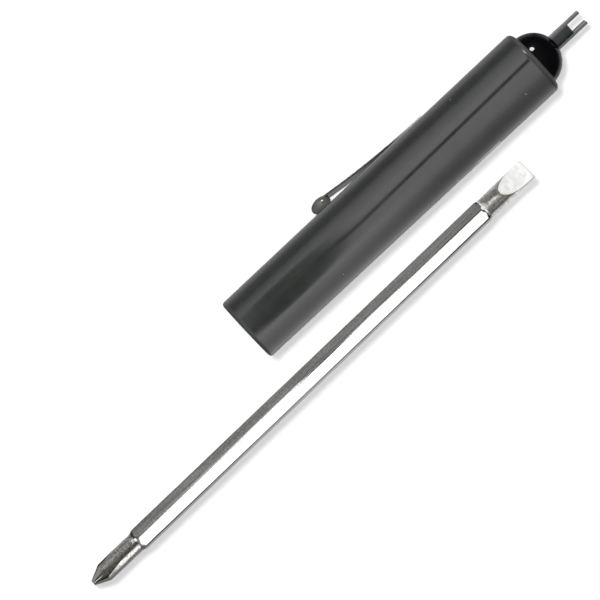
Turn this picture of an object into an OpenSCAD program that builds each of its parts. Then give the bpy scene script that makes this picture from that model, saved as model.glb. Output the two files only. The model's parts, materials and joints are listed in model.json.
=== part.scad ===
// Pocket screwdriver with a reversible blade, a pocket clip and a valve core fork.
// The origin is the middle of the blade socket's mouth. +X runs along the barrel
// towards the fork, +Z is up, and the tool lies on a table with its blade taken out.

/* [Barrel] */
// Length of the barrel, from the blade's end to the fork end
barrel_l = 85.7; // [80:0.1:95]
// Outside diameter at the blade's end
mouth_d = 15.7; // [15.2:0.05:16.4]
// How much thicker the barrel is at the fork end, for the moulding's draft
draft = 0.35; // [0:0.05:1]
// Wall at the blade's end, round a bore that runs right through
wall_t = 1.5; // [1.3:0.05:1.8]
// Rounding of the outer edge at the blade's end
mouth_round = 0.8; // [0.2:0.1:1]
// Rounding of the outer edge at the fork end
tail_round = 1.3; // [0.3:0.1:1.4]

/* [Blade socket] */
// Length of the moulded insert that holds the blade's hexagon
socket_l = 18; // [12:0.5:24]
// Thickness of the insert's front plate
plate_t = 2; // [1:0.1:3]
// Wall round the hexagonal hole, at its corners
socket_wall = 1.2; // [0.8:0.1:1.8]
// Number of ribs that carry the hexagonal tube in the bore
rib_count = 6; // [3:1:8]
// Thickness of a rib
rib_t = 1.2; // [0.8:0.1:1.8]
// Distance that the ribs stop short of the insert's two ends
rib_inset = 0.5; // [0.2:0.1:1]
// Depth of the keyway that each rib's edge sits in
key_h = 0.5; // [0.3:0.05:0.7]
// Play on each side between the blade's hexagon and its hole
blade_play = 0.05; // [0.02:0.01:0.12]
// Lead-in chamfer of the hexagonal hole, outside its corners
lead_in = 0.3; // [0.1:0.1:0.8]

/* [Grip spring] */
// Thickness of the spring steel
spring_t = 0.3; // [0.2:0.05:0.4]
// Length of the spring's ring, which grips the bore
ring_l = 3; // [2:0.5:5]
// Length of a finger, from the ring to its narrowest place
finger_l = 7; // [5:0.5:10]
// Width of a finger
finger_w = 2.6; // [1.6:0.1:3]
// Number of fingers
finger_count = 3; // [2:1:4]
// Diameter of the circle that the relaxed fingers leave free
grip_d = 4.6; // [4.2:0.1:4.8]
// Length of the flared finger ends
flare_l = 1.4; // [0.8:0.1:2]

/* [End plug] */
// Depth of the plug inside the barrel
stem_l = 15.3; // [12:0.1:20]
// Distance that the middle of the round end lies inside the barrel
dome_inset = 0.5; // [0:0.1:2]
// Number of barbs on the stem
barb_count = 4; // [2:1:6]
// Height of a barb
barb_h = 0.45; // [0.2:0.05:0.8]
// Length of the plain collar between the barbs and the round end
collar_l = 3.5; // [2:0.5:5]
// Thickness of the steel disc that the blade's inner end stops against
stop_t = 1; // [0.6:0.1:2]

/* [Valve fork] */
// Width of the channel over its two sides
fork_w = 3.55; // [3:0.05:4.2]
// Height of the channel's sides
fork_h = 1.9; // [1.5:0.05:2.4]
// Thickness of its sheet steel
fork_t = 0.55; // [0.4:0.05:0.7]
// Outer radius of its two bends
fork_bend = 0.7; // [0.3:0.05:0.9]
// Distance from the barrel's end to the fork's tips
fork_reach = 13.85; // [11:0.05:16]
// Length of the prongs beyond the channel's web
prong_l = 3.5; // [2.5:0.1:4.5]
// Length of the channel inside the plug's round end and stem
fork_root = 12; // [8:0.5:14]
// Chamfer of the prong tips
prong_cut = 0.3; // [0.1:0.05:0.5]

/* [Pocket clip] */
// Angle of the clip round the barrel, from straight up
clip_angle = 132; // [60:1:132]
// Distance from the stop disc to the place where the strip leaves the surface
clip_back = 11.4; // [8:0.1:16]
// Length of the strip from there to the middle of the ball
clip_l = 27.45; // [24:0.05:32]
// Thickness of the strip
clip_t = 0.4; // [0.3:0.05:0.6]
// Width of the strip at its root
clip_root_w = 2.8; // [2.4:0.1:4]
// Width of the strip at the ball
clip_tip_w = 2.4; // [2:0.1:3]
// Height that the strip's bow reaches above the barrel at the ball
clip_rise = 2.25; // [1.5:0.05:2.6]
// Length of the ball, which is a long olive
ball_l = 4.9; // [4:0.1:6]
// Diameter of the ball
ball_d = 3.2; // [2.8:0.1:3.8]
// Length of strip that lies flat on the barrel before the tang
pad_l = 1.2; // [0.8:0.1:3]
// Width of the tang that passes through the barrel's wall
tang_w = 2.2; // [1.6:0.1:2.4]
// Middle radius of the tang's two bends
tang_bend = 0.4; // [0.35:0.05:0.6]
// Length of the hook behind the wall
hook_l = 2.6; // [1.5:0.1:4]
// Room in the slot on the side that the tang swings to
swing_room = 0.35; // [0.25:0.05:0.6]

/* [Blade] */
// Width of the hexagonal shank across its flats
hex_af = 5; // [4.5:0.05:5.5]
// Length of the whole blade
blade_l = 131.8; // [110:0.1:140]
// Length of the end with the crossed point, up to the hexagon
cross_end_l = 13.3; // [11:0.1:16]
// Length of the end with the flat tip, up to the hexagon
flat_end_l = 13; // [11:0.1:16]
// Diameter of the neck behind the crossed point
cross_neck_d = 4.6; // [4:0.05:4.9]
// Diameter of the neck behind the flat tip
flat_neck_d = 4.9; // [4.4:0.05:4.95]
// Height of the small collar between a neck and the hexagon
step_h = 0.1; // [0.05:0.01:0.15]
// Length of the small collar between a neck and the hexagon
step_l = 0.35; // [0.2:0.05:0.6]
// Diameter of the blunt end of the crossed point
cross_tip_d = 1.3; // [0.8:0.05:1.8]
// Length of the cone of the crossed point
cross_cone_l = 3.4; // [2.5:0.1:4.5]
// Distance from the point to where the flutes run out
flute_l = 9.5; // [7:0.1:11]
// Distance of a flute's floor from the axis at the point
flute_floor = 0.35; // [0.25:0.05:0.5]
// Turn of the flutes against the hexagon's upper flat
flute_turn = 9.4; // [0:0.1:45]
// Width of the flat tip
flat_tip_w = 5.05; // [4.5:0.05:5.1]
// Thickness of the flat tip
flat_tip_t = 0.9; // [0.6:0.05:1.2]
// Length of the flat tip's parallel land
land_l = 1.1; // [0.5:0.1:2]
// Length of each hollow-ground face behind the land
hollow_l = 7; // [5:0.1:9]
// Turn of the flat tip against the hexagon's upper flat
flat_turn = 30; // [0:30:60]

/* [Layout] */
// Clear distance between the barrel and the blade laid beside it
lay_gap = 9; // [4:0.1:20]
// Turn of the laid blade against the barrel
lay_turn = 0.6; // [0:0.1:2]

/* [Fits] */
// Gap round pieces that are pressed or glued in the barrel
seat_gap = 0.02; // [0.01:0.01:0.05]
// Gap between the clip and the barrel
clip_gap = 0.06; // [0.04:0.01:0.1]
// Play on each side of the clip's tang in its slot
slot_play = 0.15; // [0.1:0.01:0.3]
// Play between the blade's inner end and its stop
end_play = 0.2; // [0.05:0.05:0.5]

/* [Hidden] */
$fn = 96;
// How far a cut runs past the face that it opens
overrun = 1;
tail_d = mouth_d + draft;
bore_r = mouth_d / 2 - wall_t;
seat_r = bore_r - seat_gap;
hex_ac = hex_af / cos(30);
hole_ac = (hex_af + 2 * blade_play) / cos(30);
stem_x = barrel_l - stem_l;
stop_x = stem_x - stop_t;
dome_x = barrel_l - dome_inset;
fork_tip_x = barrel_l + fork_reach;
fork_x = barrel_l - fork_root;
table_z = -tail_d / 2;
blade_end_x = stop_x - end_play;
hex_l = blade_l - cross_end_l - flat_end_l;
clip_root_x = stop_x - clip_back;
ball_x = clip_root_x - clip_l;
clip_seat = barrel_r(clip_root_x) + clip_gap;
tang_x = clip_root_x + pad_l + tang_bend;
hook_z = sqrt(bore_r * bore_r - tang_w * tang_w / 4) - clip_gap;
ball_z = barrel_r(ball_x) + clip_gap + ball_d / 2;

// Outside radius of the barrel at a place along it
function barrel_r(x) = (mouth_d + draft * x / barrel_l) / 2;

// Points of an arc round a middle point, from one angle to another
function arc(middle, r, from, to, steps) =
    [for (i = [0 : steps]) let (a = from + (to - from) * i / steps) middle + r * [cos(a), sin(a)]];

// Direction along a path at one of its points
function along(path, i) =
    let (a = path[max(i - 1, 0)], b = path[min(i + 1, len(path) - 1)]) (b - a) / norm(b - a);

// The path moved sideways by a distance, to its left
function beside(path, d) =
    [for (i = [0 : len(path) - 1]) let (u = along(path, i)) path[i] + d * [-u[1], u[0]]];

// Outline of a strip of a given thickness that follows a path
function strip(path, t) =
    let (left = beside(path, t / 2), right = beside(path, -t / 2), n = len(path))
    concat(left, [for (i = [1 : n]) right[n - i]]);

// Stands a shape that rises along Z on the barrel's axis
module along_x() {
    rotate([0, 90, 0]) children();
}

// Turns a shape drawn above the axis round to an angle from straight up
module at_angle(angle) {
    rotate([-angle, 0, 0]) children();
}

// Stands an outline drawn in X and Z up and gives it a width across
module side_view(width) {
    rotate([90, 0, 0]) linear_extrude(width, center = true) children();
}

// The sharp corner that a rounding takes off an outer edge at x = 0
module corner_waste(edge_r, size) {
    difference() {
        translate([edge_r - size, -overrun]) square([size + overrun, size + overrun]);
        translate([edge_r - size, size]) circle(size);
    }
}

module hexagon_bar(across_corners, length) {
    along_x() rotate([0, 0, 30]) cylinder(d = across_corners, h = length, $fn = 6);
}

module barrel_profile() {
    difference() {
        polygon([[bore_r, 0], [mouth_d / 2, 0], [tail_d / 2, barrel_l], [bore_r, barrel_l]]);
        corner_waste(mouth_d / 2, mouth_round);
        translate([0, barrel_l]) mirror([0, 1]) corner_waste(tail_d / 2, tail_round);
    }
}

// Bars that stand out from the axis at the place of each rib
module ribs(from_x, to_x, width, reach) {
    for (i = [0 : rib_count - 1])
        at_angle((i + 0.5) * 360 / rib_count)
            translate([from_x, -width / 2, 0])
                cube([to_x - from_x, width, reach]);
}

// The keyways run in from the mouth, so that the ribs can slide in
module keyways() {
    ribs(-overrun, socket_l - rib_inset + seat_gap, rib_t + 2 * seat_gap, bore_r + key_h);
}

module clip_slot() {
    at_angle(clip_angle)
        translate([tang_x - clip_t / 2 - swing_room, -tang_w / 2 - slot_play, 0])
            cube([clip_t + swing_room + 2 * slot_play, tang_w + 2 * slot_play, tail_d]);
}

module barrel() {
    color("dimgray")
        difference() {
            along_x() rotate_extrude() barrel_profile();
            keyways();
            clip_slot();
        }
}

module blade_socket() {
    lead_l = lead_in + (hole_ac - hex_af) / 2;
    color("darkslategray")
        difference() {
            union() {
                along_x() cylinder(r = seat_r, h = plate_t);
                along_x() cylinder(d = hole_ac + 2 * socket_wall, h = socket_l);
                ribs(rib_inset, socket_l - rib_inset, rib_t, bore_r + key_h - seat_gap);
            }
            translate([-overrun, 0, 0]) {
                hexagon_bar(hole_ac, socket_l + 2 * overrun);
                along_x()
                    cylinder(d1 = hole_ac + 2 * (lead_in + overrun), d2 = hex_af, h = lead_l + overrun);
            }
        }
}

module spring_profile() {
    ring_r = seat_r - spring_t / 2;
    grip_r = (grip_d + spring_t) / 2;
    polygon(strip([
        [ring_r, 0],
        [ring_r, ring_l],
        [grip_r, ring_l + finger_l],
        [grip_r + flare_l / 2, ring_l + finger_l + flare_l]
    ], spring_t));
}

module grip_spring() {
    color("silver")
        translate([socket_l + seat_gap, 0, 0])
            intersection() {
                along_x() rotate_extrude() spring_profile();
                union() {
                    translate([-overrun, 0, 0]) along_x() cylinder(r = bore_r, h = overrun + ring_l);
                    for (i = [0 : finger_count - 1])
                        at_angle(i * 360 / finger_count)
                            translate([0, -finger_w / 2, 0])
                                cube([ring_l + finger_l + flare_l + overrun, finger_w, bore_r]);
                }
            }
}

module stop_disc() {
    color("lightsteelblue")
        translate([stop_x, 0, 0]) along_x() cylinder(r = seat_r, h = stop_t - seat_gap);
}

// Half outline of the plug: barbed stem, plain collar and round end
module plug_profile() {
    collar_x = dome_x - collar_l;
    pitch = (collar_x - stem_x) / barb_count;
    barbs = [for (i = [0 : barb_count - 1])
        each [[seat_r - barb_h, stem_x + i * pitch], [seat_r, stem_x + (i + 1) * pitch]]];
    polygon(concat([[0, stem_x]], barbs, [[seat_r, dome_x], [0, dome_x]]));
    translate([0, dome_x])
        intersection() {
            circle(seat_r);
            square(seat_r);
        }
}

// End view of the channel, or of its pocket when it is grown by a gap
module channel_outline(grow) {
    w = fork_w + 2 * grow;
    h = fork_h + 2 * grow;
    r = fork_bend + grow;
    translate([-w / 2, -h / 2 + r]) square([w, h - r]);
    translate([-w / 2 + r, -h / 2]) square([w - 2 * r, h]);
    for (side = [-1, 1]) translate([side * (w / 2 - r), -h / 2 + r]) circle(r);
}

module end_plug() {
    color("black")
        difference() {
            along_x() rotate_extrude() plug_profile();
            translate([fork_x - seat_gap, 0, 0])
                rotate([90, 0, 90])
                    linear_extrude(fork_root + fork_reach) channel_outline(seat_gap);
        }
}

module prong_tip_waste() {
    for (side = [-1, 1])
        translate([fork_tip_x, side * fork_w / 2, 0])
            rotate([0, 0, 45])
                cube([prong_cut * sqrt(2), prong_cut * sqrt(2), 2 * fork_h], center = true);
}

module valve_fork() {
    color("slategray")
        difference() {
            translate([fork_x, 0, 0])
                rotate([90, 0, 90]) linear_extrude(fork_root + fork_reach) channel_outline(0);
            translate([fork_x - overrun, -fork_w / 2 + fork_t, -fork_h / 2 + fork_t])
                cube([fork_root + fork_reach + 2 * overrun, fork_w - 2 * fork_t, fork_h]);
            translate([fork_tip_x - prong_l, -fork_w / 2 + fork_t, -fork_h])
                cube([prong_l + overrun, fork_w - 2 * fork_t, 2 * fork_h]);
            prong_tip_waste();
        }
}

// Middle line of the clip's strip seen from the side, from the ball to the hook's end
function clip_path() =
    let (
        run = clip_root_x - ball_x,
        bow_r = (run * run + clip_rise * clip_rise) / (2 * clip_rise),
        bow = asin(run / bow_r),
        top = clip_seat + clip_t / 2,
        hook = hook_z - clip_t / 2,
        high = [tang_x - tang_bend, top - tang_bend],
        low = [tang_x + tang_bend, hook + tang_bend]
    )
    concat(
        arc([clip_root_x, top + bow_r], bow_r, -90 - bow, -90, 20),
        arc(high, tang_bend, 90, 0, 8),
        arc(low, tang_bend, 180, 270, 8),
        [[tang_x + hook_l, hook]]
    );

// The strip seen from above: narrow at the ball, wider at its root, stepped in for the tang
module clip_plan() {
    step_x = tang_x - tang_bend;
    polygon([
        [ball_x, -clip_tip_w / 2],
        [step_x, -clip_root_w / 2],
        [step_x, -tang_w / 2],
        [tang_x + hook_l + overrun, -tang_w / 2],
        [tang_x + hook_l + overrun, tang_w / 2],
        [step_x, tang_w / 2],
        [step_x, clip_root_w / 2],
        [ball_x, clip_tip_w / 2]
    ]);
}

// Half outline of the olive, turned about its long axis
module olive_profile() {
    polygon([for (i = [0 : 24]) let (a = -90 + i * 7.5) [ball_d / 2 * cos(a), ball_l / 2 * sin(a)]]);
}

module pocket_clip() {
    color("dimgray")
        at_angle(clip_angle) {
            intersection() {
                side_view(clip_root_w + overrun) polygon(strip(clip_path(), clip_t));
                linear_extrude(tail_d) clip_plan();
            }
            translate([ball_x, 0, ball_z]) along_x() rotate_extrude() olive_profile();
        }
}

// Round stock of the blade: both necks and ends, with a chamfered middle for the hexagon
module blade_profile() {
    cross_r = cross_neck_d / 2;
    flat_r = flat_neck_d / 2;
    tip_r = norm([flat_tip_w, flat_tip_t]) / 2;
    hex_r = hex_ac / 2 + overrun;
    hex_x = cross_end_l;
    hex_end = cross_end_l + hex_l;
    polygon([
        [0, 0],
        [cross_tip_d / 2, 0],
        [cross_r, cross_cone_l],
        [cross_r, hex_x - step_l],
        [cross_r + step_h, hex_x - step_l],
        [cross_r + step_h, hex_x],
        [hex_r, hex_x + hex_r - cross_r - step_h],
        [hex_r, hex_end - hex_r + flat_r + step_h],
        [flat_r + step_h, hex_end],
        [flat_r + step_h, hex_end + step_l],
        [flat_r, hex_end + step_l],
        [flat_r, blade_l - land_l - hollow_l],
        [tip_r, blade_l],
        [0, blade_l]
    ]);
}

// One V-shaped flute of the crossed point, above the axis
module flute() {
    deep = cross_neck_d;
    rise = atan((cross_neck_d / 2 - flute_floor) / flute_l);
    translate([0, 0, flute_floor])
        rotate([0, -rise, 0])
            translate([-overrun, 0, 0])
                rotate([90, 0, 90])
                    linear_extrude(flute_l + 2 * overrun + deep)
                        polygon([[0, 0], [deep, deep], [-deep, deep]]);
}

// What the grinding wheel takes off one side of the flat tip
module tip_waste() {
    drop = (flat_neck_d - flat_tip_t) / 2;
    wheel_r = (hollow_l * hollow_l + drop * drop) / (2 * drop);
    high = drop + overrun;
    sweep = acos(1 - high / wheel_r);
    land_x = blade_l - land_l;
    low_z = flat_tip_t / 2;
    side_view(2 * flat_tip_w)
        polygon(concat(
            [[blade_l + overrun, low_z + high], [blade_l + overrun, low_z]],
            arc([land_x, low_z + wheel_r], wheel_r, -90, -90 - sweep, 24)
        ));
}

module blade() {
    mid_x = blade_end_x - blade_l / 2;
    lay_y = -(tail_d / 2 + lay_gap + hex_ac / 2);
    color("gainsboro")
        translate([mid_x, lay_y, table_z + hex_af / 2])
            rotate([0, 0, lay_turn])
                translate([-blade_l / 2, 0, 0])
                    difference() {
                        intersection() {
                            along_x() rotate_extrude() blade_profile();
                            translate([-overrun, 0, 0]) hexagon_bar(hex_ac, blade_l + 2 * overrun);
                        }
                        for (i = [0 : 3]) at_angle(flute_turn + i * 90) flute();
                        for (i = [0, 1]) at_angle(flat_turn + i * 180) tip_waste();
                    }
}

barrel();
blade_socket();
grip_spring();
stop_disc();
end_plug();
valve_fork();
pocket_clip();
blade();
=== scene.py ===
import json
from math import acos, atan2, cos, degrees, pi, radians, sin, sqrt, tan

import bmesh
import bpy
from mathutils import Matrix, Vector


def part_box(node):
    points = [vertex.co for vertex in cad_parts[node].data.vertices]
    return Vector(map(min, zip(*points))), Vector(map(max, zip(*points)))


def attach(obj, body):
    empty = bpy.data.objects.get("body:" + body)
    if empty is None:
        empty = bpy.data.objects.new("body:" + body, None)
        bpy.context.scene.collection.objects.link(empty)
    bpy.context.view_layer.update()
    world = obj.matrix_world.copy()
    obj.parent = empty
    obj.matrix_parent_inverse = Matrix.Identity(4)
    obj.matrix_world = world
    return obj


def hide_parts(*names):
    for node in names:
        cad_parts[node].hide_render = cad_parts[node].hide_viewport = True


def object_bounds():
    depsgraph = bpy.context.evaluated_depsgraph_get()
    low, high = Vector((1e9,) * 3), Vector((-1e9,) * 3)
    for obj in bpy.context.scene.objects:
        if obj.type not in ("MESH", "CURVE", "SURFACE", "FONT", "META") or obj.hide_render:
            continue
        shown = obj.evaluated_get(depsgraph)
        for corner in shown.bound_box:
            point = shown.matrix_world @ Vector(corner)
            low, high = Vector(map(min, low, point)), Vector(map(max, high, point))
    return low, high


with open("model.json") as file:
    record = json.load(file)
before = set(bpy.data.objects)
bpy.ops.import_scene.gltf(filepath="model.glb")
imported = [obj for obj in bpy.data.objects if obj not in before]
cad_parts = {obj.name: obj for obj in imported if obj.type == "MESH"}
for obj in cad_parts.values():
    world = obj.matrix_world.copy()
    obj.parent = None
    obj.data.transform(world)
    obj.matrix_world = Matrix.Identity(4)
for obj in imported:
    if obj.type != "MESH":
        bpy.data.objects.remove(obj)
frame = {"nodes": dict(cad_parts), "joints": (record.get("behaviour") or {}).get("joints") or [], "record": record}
cad_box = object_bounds()

# The camera
# It looks steeply down on the tool through a long lens, from the side that the
# pocket clip leans to, turned so that the tool lies across the frame.
VIEW_LEAN = radians(20)
VIEW_ROLL = radians(43.12)
VIEW_WIDTH = 0.1299
VIEW_DISTANCE = 0.8
AIM_ALONG = 0.0131
AIM_UP = -0.0031

along_barrel = Vector((1, 0, 0))
view_back = Vector((0, sin(VIEW_LEAN), cos(VIEW_LEAN)))
view_up = view_back.cross(along_barrel)
camera_data = bpy.data.cameras.new("camera")
camera_data.angle = 2 * atan2(VIEW_WIDTH / 2, VIEW_DISTANCE)
camera = bpy.data.objects.new("camera", camera_data)
bpy.context.scene.collection.objects.link(camera)
camera_axes = Matrix((
    along_barrel * cos(VIEW_ROLL) - view_up * sin(VIEW_ROLL),
    along_barrel * sin(VIEW_ROLL) + view_up * cos(VIEW_ROLL),
    view_back,
)).transposed().to_4x4()
camera_axes.translation = along_barrel * AIM_ALONG + view_up * AIM_UP + view_back * VIEW_DISTANCE
camera.matrix_world = camera_axes
bpy.context.scene.camera = camera


# The light
# A white cloth tent over the table. Its bands, its slanting slit for the lens, a gleam
# beside the mouth, a lamp beyond the fork and a dark flag over the mouth show only in
# mirrored light. Two soft keys cast the shadows, one the handle's and one the blade's.
WHITE = (1, 1, 1, 1)
HALF_TURN = 180
TENT_LIGHT = 0.26
TENT_BRIGHTEST = 4
TENT_BANDS = (
    (-HALF_TURN, 0.22), (-166, 0.28), (-155, 0.52), (-144, 0.8), (-128, 1.05), (-106, 0.86),
    (-89, 0.7), (-74, 0.8), (-60, 1.1), (-47, 1.65), (-35, 2.0), (0, 2.1), (23, 2.2), (35, 1.9),
    (60, 1.2), (72, 0.7), (80, 0.27), (89, 0.2), (106, 0.3), (128, 0.77), (144, 0.65),
    (HALF_TURN, 0.5),
)
TENT_REACH = (
    (-1, 0.9), (-0.92, 0.8), (-0.8, 0.15), (-0.3, 0.2), (-0.17, 1), (0.15, 1), (0.22, 0.04),
    (1, 0.03),
)
TENT_FLOOR = ((-1, 0.6), (-0.75, 0.5), (-0.35, 0), (1, 0))
SLIT_SLANT = 3.4
SLIT_BANDS = ((-HALF_TURN, 1), (-8.7, 1), (-8, 0), (1.2, 0), (1.9, 1), (HALF_TURN, 1))
GLEAM_BRIGHTEST = 2
GLEAM_BANDS = (
    (-HALF_TURN, 0), (-130, 0.25), (-90, 0.7), (-60, 1), (-44, 1), (-22, 0.1), (0, 0),
    (HALF_TURN, 0),
)
GLEAM_REACH = ((-1, 0), (-0.2, 0), (-0.1, 1.3), (0.016, 1.3), (0.05, 0), (1, 0))
LAMP = (0.42, 0.637, 0.646)
LAMP_SPREAD = radians(8)
LAMP_LIGHT = 20
KEY_AWAY = 0.9
KEYS = (  # name, watts, size and lean
    ("key", 5.4, 0.1, radians(27.5)),
    ("blade_key", 6.4, 0.19, radians(40)),
)
FLAG_PLACE = (0.0115, 0.02, 0.2)
FLAG_HALF = (0.0205, 0.187)
FLAG_STEPS = 48
FLAG_TONE = (0.003, 0.003, 0.003, 1)


def join(tree, node, links):
    """Sets a node's inputs, by name or number, to values or links them to sources."""
    for socket, value in links:
        if isinstance(value, bpy.types.NodeSocket):
            tree.links.new(value, node.inputs[socket])
        else:
            node.inputs[socket].default_value = value


def put(tree, kind, *links, **settings):
    """Adds a node with its settings and inputs."""
    node = tree.nodes.new(kind)
    for name, value in settings.items():
        setattr(node, name, value)
    join(tree, node, links)
    return node


def calc(tree, operation, *values):
    """One step of arithmetic."""
    return put(tree, "ShaderNodeMath", *enumerate(values), operation=operation).outputs[0]


def dot(tree, source, direction):
    """How far a vector reaches along a direction."""
    return put(tree, "ShaderNodeVectorMath", (0, source), (1, direction),
               operation="DOT_PRODUCT").outputs["Value"]


def angle_to(tree, source, side):
    """Angle in degrees of a vector from the view's back towards a side."""
    turn = calc(tree, "ARCTAN2", dot(tree, source, side), dot(tree, source, view_back))
    return calc(tree, "DEGREES", turn)


def grey_ramp(tree, source, stops, brightest=1):
    """A ramp of greys from a list of (value, grey)."""
    low, high = stops[0][0], stops[-1][0]
    share = put(tree, "ShaderNodeMapRange", ("Value", source), ("From Min", low),
                ("From Max", high))
    ramp = put(tree, "ShaderNodeValToRGB", ("Fac", share.outputs[0]))
    while len(ramp.color_ramp.elements) < len(stops):
        ramp.color_ramp.elements.new(1)
    for element, (value, grey) in zip(ramp.color_ramp.elements, stops):
        element.position = (value - low) / (high - low)
        element.color = (grey / brightest, grey / brightest, grey / brightest, 1)
    return calc(tree, "MULTIPLY", ramp.outputs["Color"], brightest)


mirrored_tent = bpy.data.node_groups.new("mirrored tent", "ShaderNodeTree")
mirrored_tent.interface.new_socket("Direction", in_out="INPUT", socket_type="NodeSocketVector")
mirrored_tent.interface.new_socket("Light", in_out="OUTPUT", socket_type="NodeSocketFloat")
tree = mirrored_tent
sight = put(tree, "NodeGroupInput").outputs[0]
sight_along = dot(tree, sight, along_barrel)
angle = angle_to(tree, sight, view_up - along_barrel / tan(VIEW_ROLL))
slit_angle = angle_to(tree, sight, view_up - along_barrel * SLIT_SLANT)
bands = calc(tree, "MULTIPLY", grey_ramp(tree, angle, TENT_BANDS, TENT_BRIGHTEST),
             grey_ramp(tree, slit_angle, SLIT_BANDS))
reach = calc(tree, "MAXIMUM", grey_ramp(tree, sight_along, TENT_REACH),
             grey_ramp(tree, dot(tree, sight, view_back), TENT_FLOOR))
gleam = calc(tree, "MULTIPLY", grey_ramp(tree, angle, GLEAM_BANDS),
             grey_ramp(tree, sight_along, GLEAM_REACH, GLEAM_BRIGHTEST))
light = calc(tree, "MULTIPLY_ADD", bands, reach, gleam)
lamp = along_barrel * LAMP[0] + view_up * LAMP[1] + view_back * LAMP[2]
near_lamp = calc(tree, "GREATER_THAN", dot(tree, sight, lamp.normalized()), cos(LAMP_SPREAD))
put(tree, "NodeGroupOutput", (0, calc(tree, "MULTIPLY_ADD", near_lamp, LAMP_LIGHT, light)))

world = bpy.data.worlds.new("tent")
world.use_nodes = True
bpy.context.scene.world = world
tree = world.node_tree
tree.nodes.clear()
rays = put(tree, "ShaderNodeLightPath")
sight = put(tree, "ShaderNodeTexCoord").outputs["Generated"]
bands = put(tree, "ShaderNodeGroup", (0, sight), node_tree=mirrored_tent)
mirrored = put(tree, "ShaderNodeBackground", ("Color", WHITE), ("Strength", bands.outputs[0]))
lighting = put(tree, "ShaderNodeBackground", ("Color", WHITE), ("Strength", TENT_LIGHT))
seen = put(tree, "ShaderNodeBackground", ("Color", WHITE), ("Strength", 1))
glossy_mix = put(tree, "ShaderNodeMixShader", (0, rays.outputs["Is Glossy Ray"]),
                 (1, lighting.outputs[0]), (2, mirrored.outputs[0]))
camera_mix = put(tree, "ShaderNodeMixShader", (0, rays.outputs["Is Camera Ray"]),
                 (1, glossy_mix.outputs[0]), (2, seen.outputs[0]))
put(tree, "ShaderNodeOutputWorld", ("Surface", camera_mix.outputs[0]))

shadow_makers = {}
for name, watts, size, lean in KEYS:
    key_data = bpy.data.lights.new(name, "AREA")
    key_data.energy = watts
    key_data.size = size
    key = bpy.data.objects.new(name, key_data)
    key.location = Vector((0, sin(lean), cos(lean))) * KEY_AWAY
    key.rotation_euler = (-lean, 0, 0)
    key.visible_glossy = False
    key.visible_camera = False
    bpy.context.scene.collection.objects.link(key)
    shadow_makers[name] = bpy.data.collections.new(name + "_shadows")
    key.light_linking.blocker_collection = shadow_makers[name]

flag_mesh = bpy.data.meshes.new("flag")
flag_turns = [2 * pi * i / FLAG_STEPS for i in range(FLAG_STEPS)]
flag_rim = [along_barrel * (FLAG_PLACE[0] + FLAG_HALF[0] * cos(a))
            + view_up * (FLAG_PLACE[1] + FLAG_HALF[1] * sin(a))
            + view_back * FLAG_PLACE[2] for a in flag_turns]
flag_mesh.from_pydata(flag_rim, [], [tuple(range(FLAG_STEPS))])
flag = bpy.data.objects.new("flag", flag_mesh)
flag.visible_camera = False
flag.visible_diffuse = False
flag.visible_shadow = False
bpy.context.scene.collection.objects.link(flag)
black = bpy.data.materials.new("black cloth")
black.use_nodes = True
black.node_tree.nodes.clear()
cloth = put(black.node_tree, "ShaderNodeBsdfDiffuse", ("Color", FLAG_TONE))
put(black.node_tree, "ShaderNodeOutputMaterial", ("Surface", cloth.outputs[0]))
flag_mesh.materials.append(black)
bpy.context.scene.view_settings.view_transform = "Standard"


# The table
# A plain white board. It takes the soft shadows and otherwise shows pure white. Shiny
# pieces mirror it darker, as the lowest bands of the tent.
TABLE_SIZE = 3
TABLE_TONE = (0.82, 0.82, 0.82, 1)

table_z = cad_box[0][2]
half = TABLE_SIZE / 2
table_mesh = bpy.data.meshes.new("table")
table_mesh.from_pydata(
    [(x, y, table_z) for x, y in ((-half, -half), (half, -half), (half, half), (-half, half))],
    [], [(0, 1, 2, 3)])
table = bpy.data.objects.new("table", table_mesh)
bpy.context.scene.collection.objects.link(table)
white = bpy.data.materials.new("white board")
white.use_nodes = True
tree = white.node_tree
tree.nodes.clear()
rays = put(tree, "ShaderNodeLightPath")
board = put(tree, "ShaderNodeBsdfDiffuse", ("Color", TABLE_TONE))
back = put(tree, "ShaderNodeNewGeometry").outputs["Incoming"]
sight = put(tree, "ShaderNodeVectorMath", (0, back), (1, (-1, -1, -1)), operation="MULTIPLY")
bands = put(tree, "ShaderNodeGroup", (0, sight.outputs[0]), node_tree=mirrored_tent)
mirrored = put(tree, "ShaderNodeEmission", ("Color", WHITE), ("Strength", bands.outputs[0]))
seen = put(tree, "ShaderNodeMixShader", (0, rays.outputs["Is Glossy Ray"]), (1, board.outputs[0]),
           (2, mirrored.outputs[0]))
put(tree, "ShaderNodeOutputMaterial", ("Surface", seen.outputs[0]))
table_mesh.materials.append(white)


# The barrel
# A tube moulded in one piece from black plastic with a satin skin, a little thicker at
# the fork end so that it leaves its mould. It is turned from its own outline, and then
# the socket's keyways and the clip's slot are cut out of it.
MM = 0.001
BARREL_WALL = 1.5 * MM
MOUTH_ROUND = 0.8 * MM
TAIL_ROUND = 1.3 * MM
ROUNDING_HOLD = 0.3 * MM
BARREL_STEPS = 192
ROUNDING_STEPS = 10
BARREL_DRAFT = 0.175 * MM
KEYWAY_W = 1.24 * MM
KEYWAY_H = 0.5 * MM
KEYWAY_L = 17.5 * MM
KEYWAY_COUNT = 6
SLOT_W = 2.5 * MM
SLOT_L = 1.05 * MM
CUT_OVERRUN = 1 * MM
WELD = 0.001 * MM
CREASE = radians(32)
SATIN_DARK = (0.0113, 0.0129, 0.0121)
SATIN_PALE = (0.0198, 0.021, 0.0194)
SATIN_ROUGH = (0.05, 0.08)
SATIN_GLOSS = 0.5
DULL_MOUTH = (14 * MM, 54 * MM)
DULL_ROUGH = 0.1
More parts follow.
